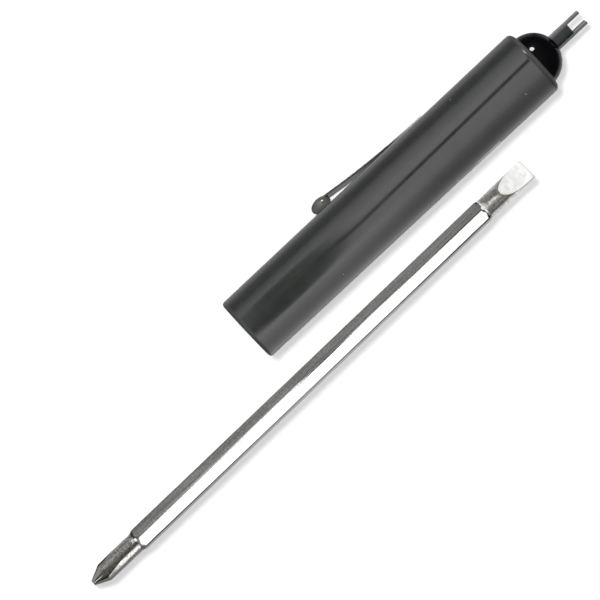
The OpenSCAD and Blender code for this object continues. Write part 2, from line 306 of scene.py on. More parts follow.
MOUTH_RUB = (0.6 * MM, 1.1 * MM)
MOUTH_RUBBED = 0.4
TAIL_RUB = (1.4 * MM, 0.7 * MM)
TAIL_RUBBED = 0.8
RUBBED_TONE = (0.08, 0.081, 0.078)
RUBBED_SHARE = 0.7
RUBBED_ROUGH = 0.35
RUBBED_GLOSS = 0.15
SPECK_DARK = (0.002, 0.002, 0.002)
SPECK_PALE = (0.3, 0.3, 0.3)
SPECK_EDGE = (0.02, 0.045)
BARE_CELLS = 0.75
SKIN_GRAIN = 0.004 * MM
MIRRORED_GREY = 0.24  # the blade mirrors the barrel pale, as each was photographed alone


def rounding(centre, radius, start, end, steps=ROUNDING_STEPS):
    """Points of an arc in an outline of (x, r)."""
    turns = [radians(start + (end - start) * i / steps) for i in range(steps + 1)]
    return [(centre[0] + radius * cos(a), centre[1] + radius * sin(a)) for a in turns]


def lathe_tree():
    """Turns an outline of points (x, 0, r) round the X axis."""
    tree = bpy.data.node_groups.new("lathe", "GeometryNodeTree")
    for name, kind in (("Outline", "Geometry"), ("Steps", "Int"), ("Weld", "Float"),
                       ("Finish", "Material")):
        tree.interface.new_socket(name, in_out="INPUT", socket_type="NodeSocket" + kind)
    tree.interface.new_socket("Geometry", in_out="OUTPUT", socket_type="NodeSocketGeometry")
    given = put(tree, "NodeGroupInput").outputs
    count = put(tree, "GeometryNodeAttributeDomainSize", (0, given["Outline"]), component="MESH")
    ring = calc(tree, "ADD", given["Steps"], 1)
    sheet = put(tree, "GeometryNodeMeshGrid", ("Vertices X", count.outputs["Point Count"]),
                ("Vertices Y", ring))
    index = put(tree, "GeometryNodeInputIndex").outputs[0]
    row = calc(tree, "FLOOR", calc(tree, "DIVIDE", index, ring))
    share = calc(tree, "DIVIDE", calc(tree, "MODULO", index, ring), given["Steps"])
    turn = calc(tree, "MULTIPLY", share, 2 * pi)
    place = put(tree, "GeometryNodeInputPosition").outputs[0]
    point = put(tree, "GeometryNodeSampleIndex", ("Geometry", given["Outline"]), ("Value", place),
                ("Index", row), data_type="FLOAT_VECTOR", domain="POINT")
    parts = put(tree, "ShaderNodeSeparateXYZ", (0, point.outputs["Value"])).outputs
    y = calc(tree, "MULTIPLY", parts["Z"], calc(tree, "SINE", turn))
    z = calc(tree, "MULTIPLY", parts["Z"], calc(tree, "COSINE", turn))
    spot = put(tree, "ShaderNodeCombineXYZ", (0, parts["X"]), (1, y), (2, z))
    turned = put(tree, "GeometryNodeSetPosition", ("Geometry", sheet.outputs["Mesh"]),
                 ("Position", spot.outputs[0]))
    welded = put(tree, "GeometryNodeMergeByDistance", ("Geometry", turned.outputs[0]),
                 ("Distance", given["Weld"]))
    real = put(tree, "GeometryNodeRealizeInstances", (0, welded.outputs[0]))
    finished = put(tree, "GeometryNodeSetMaterial", ("Geometry", real.outputs[0]),
                   ("Material", given["Finish"]))
    put(tree, "NodeGroupOutput", (0, finished.outputs[0]))
    return tree


lathe = lathe_tree()


def settle(piece, crease=CREASE):
    """Turns a piece and its modifiers into one closed mesh, smooth but for its creases."""
    ready = piece.evaluated_get(bpy.context.evaluated_depsgraph_get())
    piece.data = bpy.data.meshes.new_from_object(ready)
    piece.modifiers.clear()
    form = bmesh.new()
    form.from_mesh(piece.data)
    bmesh.ops.remove_doubles(form, verts=form.verts, dist=WELD)
    bmesh.ops.recalc_face_normals(form, faces=form.faces)
    form.to_mesh(piece.data)
    form.free()
    piece.data.shade_smooth()
    piece.data.set_sharp_from_angle(angle=crease)


def new_piece(name, points, faces=()):
    """A new object with its place in its mesh."""
    mesh = bpy.data.meshes.new(name)
    mesh.from_pydata(points, [], faces)
    piece = bpy.data.objects.new(name, mesh)
    bpy.context.scene.collection.objects.link(piece)
    return piece


def turned_piece(name, outline, steps, finish):
    """A round piece turned from an outline of (x, r), with its finish as its only slot."""
    piece = new_piece(name, [(x, 0, r) for x, r in outline])
    turning = piece.modifiers.new("lathe", "NODES")
    turning.node_group = lathe
    sockets = {s.name: s.identifier for s in lathe.interface.items_tree if s.in_out == "INPUT"}
    turning[sockets["Steps"]] = steps
    turning[sockets["Weld"]] = WELD
    turning[sockets["Finish"]] = finish
    settle(piece)
    piece.data.materials.clear()
    piece.data.materials.append(finish)
    return piece


def block(low, high, turn=0):
    """The corners and faces of a box, turned round the barrel's axis from straight up."""
    corners = [Vector((x, y, z)) for x in (low[0], high[0]) for y in (low[1], high[1])
               for z in (low[2], high[2])]
    spin = Matrix.Rotation(-turn, 3, "X")
    faces = ((0, 1, 3, 2), (4, 6, 7, 5), (0, 4, 5, 1), (2, 3, 7, 6), (0, 2, 6, 4), (1, 5, 7, 3))
    return [spin @ c for c in corners], faces


def cut(piece, blocks):
    """Cuts a list of blocks out of a piece."""
    points, faces = [], []
    for corners, sides in blocks:
        faces += [[len(points) + i for i in side] for side in sides]
        points += corners
    tool = new_piece("cutter", points, faces)
    carve = piece.modifiers.new("cut", "BOOLEAN")
    carve.operation = "DIFFERENCE"
    carve.solver = "EXACT"
    carve.object = tool
    settle(piece)
    bpy.data.objects.remove(tool)


def new_finish(name):
    """A material with a shader and the object's own coordinates."""
    finish = bpy.data.materials.new(name)
    finish.use_nodes = True
    tree = finish.node_tree
    place = put(tree, "ShaderNodeTexCoord").outputs["Object"]
    return finish, tree, tree.nodes["Principled BSDF"], place


def along_x(tree, place):
    """How far along the barrel a place is."""
    return put(tree, "ShaderNodeSeparateXYZ", (0, place)).outputs["X"]


def noise(tree, place, scale, detail=2.0, stretch=(1, 1, 1)):
    """Noise on the object's coordinates, in features per metre, stretched along an axis."""
    mapped = put(tree, "ShaderNodeMapping", ("Vector", place), ("Scale", stretch))
    return put(tree, "ShaderNodeTexNoise", ("Vector", mapped.outputs[0]), ("Scale", scale),
               ("Detail", detail)).outputs["Fac"]


surface_grain = bpy.data.node_groups.new("surface grain", "ShaderNodeTree")
for name, kind in (("Place", "Vector"), ("Scale", "Float"), ("Detail", "Float"),
                   ("Stretch", "Vector"), ("Depth", "Float"), ("Strength", "Float")):
    surface_grain.interface.new_socket(name, in_out="INPUT", socket_type="NodeSocket" + kind)
for name, kind in (("Mask", "Float"), ("Normal", "Vector")):
    surface_grain.interface.new_socket(name, in_out="OUTPUT", socket_type="NodeSocket" + kind)
given = put(surface_grain, "NodeGroupInput").outputs
mask = noise(surface_grain, given["Place"], given["Scale"], given["Detail"], given["Stretch"])
raised = put(surface_grain, "ShaderNodeBump", ("Height", mask), ("Distance", given["Depth"]),
             ("Strength", given["Strength"]))
put(surface_grain, "NodeGroupOutput", ("Mask", mask), ("Normal", raised.outputs[0]))


def grain(tree, place, scale, detail, depth, strength, stretch=(1, 1, 1)):
    """The mask of a surface's grain and the normal that it gives."""
    skin = put(tree, "ShaderNodeGroup", ("Place", place), ("Scale", scale), ("Detail", detail),
               ("Stretch", stretch), ("Depth", depth), ("Strength", strength),
               node_tree=surface_grain)
    return skin.outputs["Mask"], skin.outputs["Normal"]


def spread(tree, source, low, high, start=0.0, end=1.0):
    """Maps a value from one range, start to end, to another, low to high."""
    return put(tree, "ShaderNodeMapRange", ("Value", source), ("From Min", start),
               ("From Max", end), ("To Min", low), ("To Max", high)).outputs[0]


def rises(tree, source, start, end, full=1):
    """A share that grows from nothing at one value to full at another."""
    return spread(tree, source, 0, full, start, end)


def falls(tree, source, start, end, full=1):
    """A share that shrinks from full at one value to nothing at another."""
    return spread(tree, source, full, 0, start, end)


def all_of(tree, first, *others):
    """The product of several shares."""
    for other in others:
        first = calc(tree, "MULTIPLY", first, other)
    return first


def any_of(tree, first, *others):
    """The greatest of several shares."""
    for other in others:
        first = calc(tree, "MAXIMUM", first, other)
    return first


def colour_between(tree, share, first, second):
    """Mixes two colours."""
    mix = put(tree, "ShaderNodeMix", ("Factor", share), data_type="RGBA")
    colours = [c if isinstance(c, bpy.types.NodeSocket) else (*c, 1) for c in (first, second)]
    join(tree, mix, enumerate(colours, 6))
    return mix.outputs[2]


def pale_in_mirrors(tree, strength):
    """How strongly a piece glows where another piece mirrors it, and nowhere else."""
    in_mirror = put(tree, "ShaderNodeLightPath").outputs["Is Glossy Ray"]
    return calc(tree, "MULTIPLY", in_mirror, strength)


barrel_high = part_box("barrel")[1]
tail_r = barrel_high[2]
mouth_r = tail_r - BARREL_DRAFT
bore_r = mouth_r - BARREL_WALL
barrel_l = barrel_high[0]

barrel_finish, tree, shader, place = new_finish("satin black plastic")
cloud = noise(tree, place, 260, 4)
along = along_x(tree, place)
rubbed = any_of(
    tree, falls(tree, along, *MOUTH_RUB, MOUTH_RUBBED),
    rises(tree, along, barrel_l - TAIL_RUB[0], barrel_l - TAIL_RUB[1], TAIL_RUBBED))
cell = put(tree, "ShaderNodeTexVoronoi", ("Vector", place), ("Scale", 330)).outputs
cell_kind = put(tree, "ShaderNodeSeparateColor", (0, cell["Color"])).outputs
speck = all_of(tree, falls(tree, cell["Distance"], *SPECK_EDGE),
               calc(tree, "GREATER_THAN", cell_kind["Red"], BARE_CELLS))
speck_tone = colour_between(tree, calc(tree, "GREATER_THAN", cell_kind["Green"], 0.5),
                            SPECK_DARK, SPECK_PALE)
tone = colour_between(tree, cloud, SATIN_DARK, SATIN_PALE)
tone = colour_between(tree, calc(tree, "MULTIPLY", rubbed, RUBBED_SHARE), tone, RUBBED_TONE)
satin = calc(tree, "ADD", spread(tree, cloud, *SATIN_ROUGH, 0.3, 0.7),
             falls(tree, along, *DULL_MOUTH, DULL_ROUGH))
join(tree, shader, (
    ("Base Color", colour_between(tree, speck, tone, speck_tone)),
    ("Roughness", calc(tree, "MULTIPLY_ADD", rubbed, RUBBED_ROUGH, satin)),
    ("Specular IOR Level", spread(tree, rubbed, SATIN_GLOSS, RUBBED_GLOSS)),
    ("Normal", grain(tree, place, 3600, 2, SKIN_GRAIN, 0.4)[1]),
    ("Emission Color", WHITE),
    ("Emission Strength", pale_in_mirrors(tree, MIRRORED_GREY)),
))

barrel_outline = (
    [(0, bore_r)]
    + rounding((MOUTH_ROUND, mouth_r - MOUTH_ROUND), MOUTH_ROUND, 180, 90)
    + [(MOUTH_ROUND + ROUNDING_HOLD, mouth_r), (barrel_l - TAIL_ROUND - ROUNDING_HOLD, tail_r)]
    + rounding((barrel_l - TAIL_ROUND, tail_r - TAIL_ROUND), TAIL_ROUND, 90, 0)
    + [(barrel_l, bore_r), (0, bore_r)]
)
barrel = turned_piece("barrel_shell", barrel_outline, BARREL_STEPS, barrel_finish)
flex = next(j for j in frame["joints"] if j["name"] == "clip_flex")
clip_turn = atan2(flex["pos_m"][1], flex["pos_m"][2])
clip_x = flex["pos_m"][0]
keyways = [
    block((-CUT_OVERRUN, -KEYWAY_W / 2, bore_r - CUT_OVERRUN),
          (KEYWAY_L, KEYWAY_W / 2, bore_r + KEYWAY_H), 2 * pi * (i + 0.5) / KEYWAY_COUNT)
    for i in range(KEYWAY_COUNT)
]
slot = block((clip_x - SLOT_L / 2, -SLOT_W / 2, bore_r - CUT_OVERRUN),
             (clip_x + SLOT_L / 2, SLOT_W / 2, tail_r + CUT_OVERRUN), clip_turn)
cut(barrel, keyways + [slot])
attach(barrel, "handle")
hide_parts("barrel")


# The blade socket, the grip spring and the stop disc
# The socket is a ribbed black insert pressed into the mouth. Behind it sits a spring
# steel ring with three fingers, and at the end of the chamber a zinc plated disc. They
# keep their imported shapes.
SOCKET_DARK = (0.012, 0.012, 0.013)
SOCKET_PALE = (0.022, 0.022, 0.022)
SPRING_DARK = (0.34, 0.34, 0.36)
SPRING_PALE = (0.52, 0.52, 0.54)
ZINC_DARK = (0.42, 0.44, 0.48)
ZINC_PALE = (0.6, 0.62, 0.66)

socket_finish, tree, shader, place = new_finish("moulded black insert")
haze = noise(tree, place, 400, 3)
join(tree, shader, (
    ("Base Color", colour_between(tree, haze, SOCKET_DARK, SOCKET_PALE)),
    ("Roughness", spread(tree, haze, 0.35, 0.5)),
    ("Normal", grain(tree, place, 5000, 2, SKIN_GRAIN, 1)[1]),
))

spring_finish, tree, shader, place = new_finish("spring steel")
lines = noise(tree, place, 900, 3, (0.1, 1, 1))
join(tree, shader, (
    ("Base Color", colour_between(tree, lines, SPRING_DARK, SPRING_PALE)),
    ("Roughness", spread(tree, lines, 0.2, 0.4)),
    ("Metallic", 1),
))

zinc_finish, tree, shader, place = new_finish("zinc plate")
spangle = put(tree, "ShaderNodeTexVoronoi", ("Vector", place), ("Scale", 1500)).outputs["Distance"]
join(tree, shader, (
    ("Base Color", colour_between(tree, spangle, ZINC_DARK, ZINC_PALE)),
    ("Roughness", spread(tree, spangle, 0.25, 0.45)),
    ("Metallic", 1),
))

for node, finish in (("blade_socket", socket_finish), ("grip_spring", spring_finish),
                     ("stop_disc", zinc_finish)):
    for material_slot in frame["nodes"][node].material_slots:
        material_slot.material = finish


# The end plug
# A glossy black plug with barbs along its stem, driven into the fork end, whose round
# end closes the barrel. It is turned, and a pocket for the fork is cut into it.
PLUG_GAP = 0.02 * MM
PLUG_STEM = 15.3 * MM
DOME_INSET = 0.5 * MM
BARB_COUNT = 4
BARB_H = 0.45 * MM
COLLAR_L = 3.5 * MM
DOME_STEPS = 40
PLUG_STEPS = 160
FORK_W = 3.55 * MM
FORK_H = 1.9 * MM
FORK_ROOT = 12 * MM
GLOSS_DARK = (0.001, 0.001, 0.0015)
GLOSS_PALE = (0.002, 0.002, 0.003)
ORANGE_PEEL = 0.01 * MM

plug_finish, tree, shader, place = new_finish("glossy black plastic")
ripple = noise(tree, place, 500, 2)
join(tree, shader, (
    ("Base Color", colour_between(tree, ripple, GLOSS_DARK, GLOSS_PALE)),
    ("Roughness", spread(tree, ripple, 0.05, 0.1)),
    ("Normal", grain(tree, place, 900, 2, ORANGE_PEEL, 0.25)[1]),
))

plug_r = bore_r - PLUG_GAP
dome_x = barrel_l - DOME_INSET
stem_x = barrel_l - PLUG_STEM
collar_x = dome_x - COLLAR_L
barb_l = (collar_x - stem_x) / BARB_COUNT
barbs = [point for i in range(BARB_COUNT)
         for point in ((stem_x + i * barb_l, plug_r - BARB_H), (stem_x + (i + 1) * barb_l, plug_r))]
plug_outline = [(stem_x, 0)] + barbs + rounding((dome_x, 0), plug_r, 90, 0, DOME_STEPS)
plug = turned_piece("end_plug_dome", plug_outline, PLUG_STEPS, plug_finish)
mounts = {m["name"]: m["pos_m"] for m in frame["record"]["mounts"]}
fork_end = mounts["valve_fork"][0]
fork_x = barrel_l - FORK_ROOT
cut(plug, [block((fork_x - PLUG_GAP, -FORK_W / 2 - PLUG_GAP, -FORK_H / 2 - PLUG_GAP),
                 (fork_end, FORK_W / 2 + PLUG_GAP, FORK_H / 2 + PLUG_GAP))])
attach(plug, "handle")
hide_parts("end_plug")


# The valve fork
# A channel folded from plain sheet steel, open on top, whose two sides run on past the
# web as prongs that straddle the head of a valve core. Its section is drawn out along
# the barrel, its web is cut back and its edges are broken.
FORK_SHEET = 0.55 * MM
FORK_BEND = 0.7 * MM
PRONG_L = 3.5 * MM
BEND_STEPS = 6
BURR = 0.07 * MM
BURR_ANGLE = radians(50)
FORK_CREASE = radians(14)
FORK_TOP = FORK_H / 2
WEB_TOP = FORK_SHEET - FORK_H / 2
STEEL_DARK = (0.28, 0.285, 0.285)
STEEL_PALE = (0.48, 0.485, 0.48)
STEEL_STAIN = (0.14, 0.14, 0.14)
# Painted shade: the web at the bottom of the channel is darker, where the sides shade it
WEB_SHADE_DARK = (0.015, 0.017, 0.019)
WEB_SHADE_PALE = (0.065, 0.07, 0.075)
WEB_SHADE_EDGE = (0.02 * MM, 0.2 * MM)
# Painted shade: the channel's upturned top edges are darker
RIM_SHADE_DARK = (0.08, 0.082, 0.08)
RIM_SHADE_PALE = (0.14, 0.142, 0.138)
RIM_SHADE_EDGE = (0.08 * MM, 0.03 * MM)
ROLLED_GRAIN = 0.006 * MM

fork_finish, tree, shader, place = new_finish("folded sheet steel")
drawn, rolled = grain(tree, place, 700, 4, ROLLED_GRAIN, 0.5, (0.15, 1, 1))
blotch = noise(tree, place, 350, 3)
height = put(tree, "ShaderNodeSeparateXYZ", (0, place)).outputs["Z"]
rim_painted_shade = rises(tree, height, FORK_TOP - RIM_SHADE_EDGE[0], FORK_TOP - RIM_SHADE_EDGE[1])
web_painted_shade = falls(tree, height, WEB_TOP + WEB_SHADE_EDGE[0], WEB_TOP + WEB_SHADE_EDGE[1])
steel = colour_between(tree, drawn, STEEL_DARK, STEEL_PALE)
steel = colour_between(tree, rises(tree, blotch, 0.55, 0.75, full=0.5), steel, STEEL_STAIN)
# painted shade on the top edges of the channel's sides
steel = colour_between(tree, rim_painted_shade, steel, colour_between(tree, drawn, RIM_SHADE_DARK, RIM_SHADE_PALE))
# painted shade on the web inside the channel
steel = colour_between(tree, web_painted_shade, steel, colour_between(tree, blotch, WEB_SHADE_DARK, WEB_SHADE_PALE))
join(tree, shader, (
    ("Base Color", steel),
    ("Roughness", spread(tree, drawn, 0.25, 0.45)),
    ("Metallic", 1),
    ("Normal", rolled),
))


def channel_side(side, bend, inset):
    """Half of the channel's section, from its top edge round the bend to its web."""
    wall = side * (FORK_W / 2 - inset)
    floor = -FORK_H / 2 + inset
    turns = [radians(90 * i / BEND_STEPS) for i in range(BEND_STEPS + 1)]
    bend_points = [(wall - side * bend * (1 - cos(a)), floor + bend * (1 - sin(a))) for a in turns]
    return [(wall, FORK_TOP)] + bend_points


def faces_between(rings, n):
    """Faces that join each ring of n points to the next."""
    return [(j * n + i, j * n + (i + 1) % n, (j + 1) * n + (i + 1) % n, (j + 1) * n + i)
            for j in range(rings - 1) for i in range(n)]


outer = channel_side(-1, FORK_BEND, 0) + channel_side(1, FORK_BEND, 0)[::-1]
inner_bend = FORK_BEND - FORK_SHEET
inner = channel_side(-1, inner_bend, FORK_SHEET) + channel_side(1, inner_bend, FORK_SHEET)[::-1]
section = outer + inner[::-1]
points = [(x, y, z) for x in (fork_x, fork_end) for y, z in section]
n = len(section)
faces = faces_between(2, n)
faces += [tuple(range(n))[::-1], tuple(range(n, 2 * n))]
fork = new_piece("valve_fork_channel", points, faces)
fork.data.materials.append(fork_finish)
cut(fork, [block((fork_end - PRONG_L, FORK_SHEET - FORK_W / 2, -FORK_H),
                 (fork_end + CUT_OVERRUN, FORK_W / 2 - FORK_SHEET, FORK_H))])
trim = fork.modifiers.new("burr", "BEVEL")
trim.width = BURR
trim.segments = 2
trim.limit_method = "ANGLE"
trim.angle_limit = BURR_ANGLE
settle(fork, FORK_CREASE)
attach(fork, "handle")
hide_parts("valve_fork")


# The pocket clip
# A strip of darkened spring steel that bows out from the barrel to a pressed ball. Its
# other end is bent down through the barrel's wall and hooked behind it.
CLIP_GAP = 0.06 * MM
CLIP_T = 0.4 * MM
CLIP_ROOT_W = 2.8 * MM
CLIP_TIP_W = 2.4 * MM
CLIP_RISE = 2.25 * MM
CLIP_ROOT_BACK = 1.6 * MM
BOW_STEPS = 24
BALL_BACK = 29.05 * MM
BALL_L = 4.9 * MM
BALL_D = 3.2 * MM
BALL_STEPS = 32
TANG_W = 2.2 * MM
TANG_BEND = 0.4 * MM
HOOK_L = 2.6 * MM
STRIP_EDGE = 0.1 * MM
CLIP_DARK = (0.055, 0.048, 0.052)
CLIP_PALE = (0.10, 0.088, 0.095)
CLIP_STAIN = (0.045, 0.038, 0.036)
CLIP_ROOT_PALE = (0.5, 0.49, 0.48)
ROOT_PALE_RUN = (50 * MM, 57 * MM)
BALL_DARK = (0.075, 0.075, 0.07)
BALL_PALE = (0.115, 0.113, 0.105)
BALL_FADE = 0.3 * MM
BALL_SMOOTHER = 0.1
BALL_METAL = 0.4

root_x = clip_x - CLIP_ROOT_BACK
ball_x = clip_x - BALL_BACK
ball_stop = ball_x + BALL_L / 2

clip_finish, tree, shader, place = new_finish("darkened spring steel")
drawn, rolled = grain(tree, place, 900, 4, ROLLED_GRAIN, 0.4, (0.12, 1, 1))
blotch = noise(tree, place, 700, 4)
along = along_x(tree, place)
pressed = falls(tree, along, ball_stop - BALL_FADE, ball_stop)
ball_tone = colour_between(tree, blotch, BALL_DARK, BALL_PALE)
dark = colour_between(tree, drawn, CLIP_DARK, CLIP_PALE)
dark = colour_between(tree, rises(tree, blotch, 0.5, 0.75, full=0.5), dark, CLIP_STAIN)
# The strip turns pale over its last millimetres before the root
dark = colour_between(tree, rises(tree, along, *ROOT_PALE_RUN), dark, CLIP_ROOT_PALE)
join(tree, shader, (
    ("Base Color", colour_between(tree, pressed, dark, ball_tone)),
    ("Roughness", calc(tree, "MULTIPLY_ADD", pressed, -BALL_SMOOTHER,
                       spread(tree, blotch, 0.18, 0.3))),
    ("Metallic", spread(tree, pressed, 1, BALL_METAL)),
    ("Normal", rolled),
))


def wall_r(x):
    """Outside radius of the barrel at a place along it."""
    return mouth_r + BARREL_DRAFT * x / barrel_l


def strip_width(x):
    """Width of the strip at a place along it, stepped in for the tang."""
    if x > clip_x - TANG_BEND:
        return TANG_W
    return CLIP_TIP_W + (CLIP_ROOT_W - CLIP_TIP_W) * (x - ball_x) / (clip_x - TANG_BEND - ball_x)


top = wall_r(root_x) + CLIP_GAP + CLIP_T / 2
hook = sqrt(bore_r ** 2 - TANG_W ** 2 / 4) - CLIP_GAP - CLIP_T / 2
run = root_x - ball_x
bow_r = (run ** 2 + CLIP_RISE ** 2) / (2 * CLIP_RISE)
bow = degrees(atan2(run, bow_r - CLIP_RISE))
strip_path = (
    rounding((root_x, top + bow_r), bow_r, -90 - bow, -90, BOW_STEPS)
    + rounding((clip_x - TANG_BEND, top - TANG_BEND), TANG_BEND, 90, 0, BEND_STEPS)
    + rounding((clip_x + TANG_BEND, hook + TANG_BEND), TANG_BEND, 180, 270, BEND_STEPS)
    + [(clip_x + HOOK_L, hook)]
)
clip_spin = Matrix.Rotation(-clip_turn, 3, "X")
strip_points = []
for i, (x, r) in enumerate(strip_path):
    ahead = Vector(strip_path[min(i + 1, len(strip_path) - 1)])
    behind = Vector(strip_path[max(i - 1, 0)])
    onward = (ahead - behind).normalized()
    out = Vector((-onward.y, onward.x))
    half_w, half_t = strip_width(x) / 2, CLIP_T / 2
    ring = [(half_w - STRIP_EDGE, half_t), (half_w, half_t - STRIP_EDGE),
            (half_w, STRIP_EDGE - half_t), (half_w - STRIP_EDGE, -half_t)]
    ring += [(-y, t) for y, t in reversed(ring)]
    strip_points += [clip_spin @ Vector((x + out.x * t, y, r + out.y * t)) for y, t in ring]
n = len(ring)
count = len(strip_points)
strip_faces = faces_between(len(strip_path), n)
strip_faces += [tuple(range(n)), tuple(range(count - n, count))[::-1]]
strip = new_piece("pocket_clip_strip", strip_points, strip_faces)
strip.data.materials.append(clip_finish)
settle(strip)

ball_turns = [pi * i / BALL_STEPS for i in range(BALL_STEPS + 1)]
ball_outline = [(ball_x - BALL_L / 2 * cos(a), BALL_D / 2 * sin(a)) for a in ball_turns]
ball = turned_piece("pocket_clip_ball", ball_outline, 2 * BALL_STEPS, clip_finish)
ball_lift = wall_r(ball_x) + CLIP_GAP + BALL_D / 2
ball.data.transform(clip_spin.to_4x4() @ Matrix.Translation((0, 0, ball_lift)))
for piece in (strip, ball):
    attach(piece, "clip")
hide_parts("pocket_clip")


# The blade
# A nickel plated hexagonal bar with a turned neck at each end, with painted reflections
# streaked along the necks. One end is milled to a crossed point with four flutes, the other
# is ground hollow to a flat tip. It is one closed mesh of rings, with painted highlights and shade.
HEX_FLAT = 2.5 * MM
HEX_RIDGE_ROUND = 0.4 * MM
RIDGE_HALF = pi / 6 - atan2((HEX_FLAT - HEX_RIDGE_ROUND) * tan(pi / 6), HEX_FLAT)
CHAMFER_RUN = 2.3
CHAMFER_ROWS = 8
CROSS_END_L = 13.3 * MM
FLAT_END_L = 13 * MM
CROSS_NECK_R = 2.3 * MM
FLAT_NECK_R = 2.45 * MM
CROSS_COLLAR_R = 2.4 * MM
FLAT_COLLAR_R = 2.5 * MM
STEP_L = 0.35 * MM
POINT_R = 0.65 * MM
CONE_L = 3.4 * MM
FLUTE_L = 9.5 * MM
FLUTE_FLOOR = 0.35 * MM
FLUTE_TURN = radians(9.4)
FLUTE_ROWS = 60
TIP_HALF_T = 0.45 * MM
TIP_R = 2.565 * MM
LAND_L = 1.1 * MM
HOLLOW_L = 7 * MM
HOLLOW_ROWS = 50
FLAT_TURN = radians(30)
RING = 72
THIN = radians(0.4)
# Painted reflections on the two necks: greys by how far across each neck, with mirrored bands and a white
# highlight
CROSS_NECK_REFLECTION = tuple((d * MM, grey) for d, grey in (
    (-2.5, 0.4), (-2.4, 0.4), (-2.05, 0.16), (-1.8, 0.14), (-1.55, 0.25), (-1.35, 0.8),
    (-1.0, 0.9), (-0.75, 0.5), (-0.55, 0.1), (-0.3, 0.05), (0, 0.07), (0.45, 0.14),
    (0.95, 0.21), (1.4, 0.38), (1.9, 0.62), (2.5, 0.62)))
FLAT_NECK_REFLECTION = tuple((d * MM, grey) for d, grey in (
    (-2.5, 0.7), (-2.4, 0.7), (-2.05, 0.65), (-1.85, 0.3), (-1.55, 0.07), (-1.3, 0.15),
    (-1.05, 0.18), (-0.7, 0.12), (-0.3, 0.24), (-0.05, 0.45), (0.2, 0.68), (0.45, 0.6),
    (0.75, 0.47), (1.2, 0.55), (1.5, 0.7), (1.95, 0.9), (2.5, 0.9)))
PLATE_DARK = (0.43, 0.43, 0.415)
PLATE_PALE = (0.72, 0.72, 0.7)
# painted shade on the ridge on the blade's shadowed side
RIDGE_SHADE_TONE = (0.13, 0.13, 0.12)
REFLECTION_DARK = (0, 0, 0)
REFLECTION_PALE = (1, 0.98, 0.93)
MILLED_DARK = (0.03, 0.028, 0.023)
MILLED_PALE = (0.22, 0.21, 0.19)
CONE_TONE = (0.19, 0.185, 0.18)
GROUND_DARK = (0.66, 0.665, 0.65)
GROUND_PALE = (0.77, 0.77, 0.76)
BURNT_TONE = (0.25, 0.17, 0.1)
HIGHLIGHT_TONE = (0.8, 0.78, 0.75)
PIT_DEPTH = 0.006 * MM
PLATE_ROUGH = (0.08, 0.16)
TURNED_ROUGH = 0.28
GROUND_ROUGH = 0.25
MATT_SHARE = 0.75
MIRRORED_SILVER = 0.5  # as the barrel's MIRRORED_GREY, for the blade in the barrel
# Where each mark starts and ends, in radius, across the neck or along the blade
SOFT_EDGE = 0.1 * MM
RIDGE_SHADE_REACH = (2.72 * MM, 2.76 * MM)
RIDGE_SHADE_SIDE = -1 * MM
REFLECTION_LEFT = 0.22
REFLECTION_WHOLE = (5.5 * MM, 8.5 * MM)
MILLED_EDGE = (0.02 * MM, 0.07 * MM)
CONE_FADE = (3 * MM, 3.8 * MM)
GROUND_EDGE = (0.01 * MM, 0.06 * MM)
BURNT_SHARE = 0.93
BURNT_RISE = (0, 0.05 * MM)
BURNT_FALL = (0.1 * MM, 0.16 * MM)
BURNT_TIP = (0.15 * MM, 0.1 * MM)
CLEAN_SIDE = (1.2 * MM, 1.9 * MM)
CLEAN_RUN = (6 * MM, 4.5 * MM)
# The painted highlights: a middle and half a width, or a fade
SHOULDER_BAND = (0.08 * MM, 0.24 * MM)
SHOULDER_SIDE = -1.6 * MM
DASH_BAND = (0.4 * MM, 0.5 * MM)
DASH_MIDDLE = 0.85 * MM
DASH_FADE = (0.3 * MM, 0.7 * MM)
GLINT_BAND = (-0.2 * MM, 0.25 * MM)
GLINT_SIDE = (0.5 * MM, 0.35 * MM)
FLOOR_FADE = (0.03 * MM, 0.1 * MM)
FLOOR_RUN = (2 * MM, 3.2 * MM)
EDGE_RISE = (0, 0.01 * MM)
EDGE_FALL = (0.08 * MM, 0.15 * MM)
EDGE_SIDE = (-1.15 * MM, 0.5 * MM)
EDGE_START = 3.7 * MM
EDGE_STOP = (8.5 * MM, 9.5 * MM)

blade_start = Vector(mounts["cross_point"])
blade_stop = Vector(mounts["flat_tip"])
blade_l = (blade_stop - blade_start).length
blade_axis = (blade_stop - blade_start).normalized()
hex_start = CROSS_END_L
hex_stop = blade_l - FLAT_END_L
hex_half = (hex_stop - hex_start) / 2
hex_middle = (blade_start.x + blade_stop.x + CROSS_END_L - FLAT_END_L) / 2
ground_l = LAND_L + HOLLOW_L
ground_x = blade_stop.x - LAND_L - HOLLOW_L

blade_finish, tree, shader, place = new_finish("bright nickel plate")
drawn = noise(tree, place, 1600, 3, (0.05, 1, 1))
speckle = noise(tree, place, 2200, 3)
grit = noise(tree, place, 3400, 2)
dashes = noise(tree, place, 3800, 2, (1.6, 1, 1))
pits, pitted = grain(tree, place, 2600, 4, PIT_DEPTH, 0.5)


def share_beyond(distance, edge):
    """One beyond a distance and nothing before it."""
    return rises(tree, distance, edge - SOFT_EDGE, edge)


def marked(distance, band):
    """One inside a band, given by its middle and half its width, and nothing outside."""
    return calc(tree, "COMPARE", distance, *band)


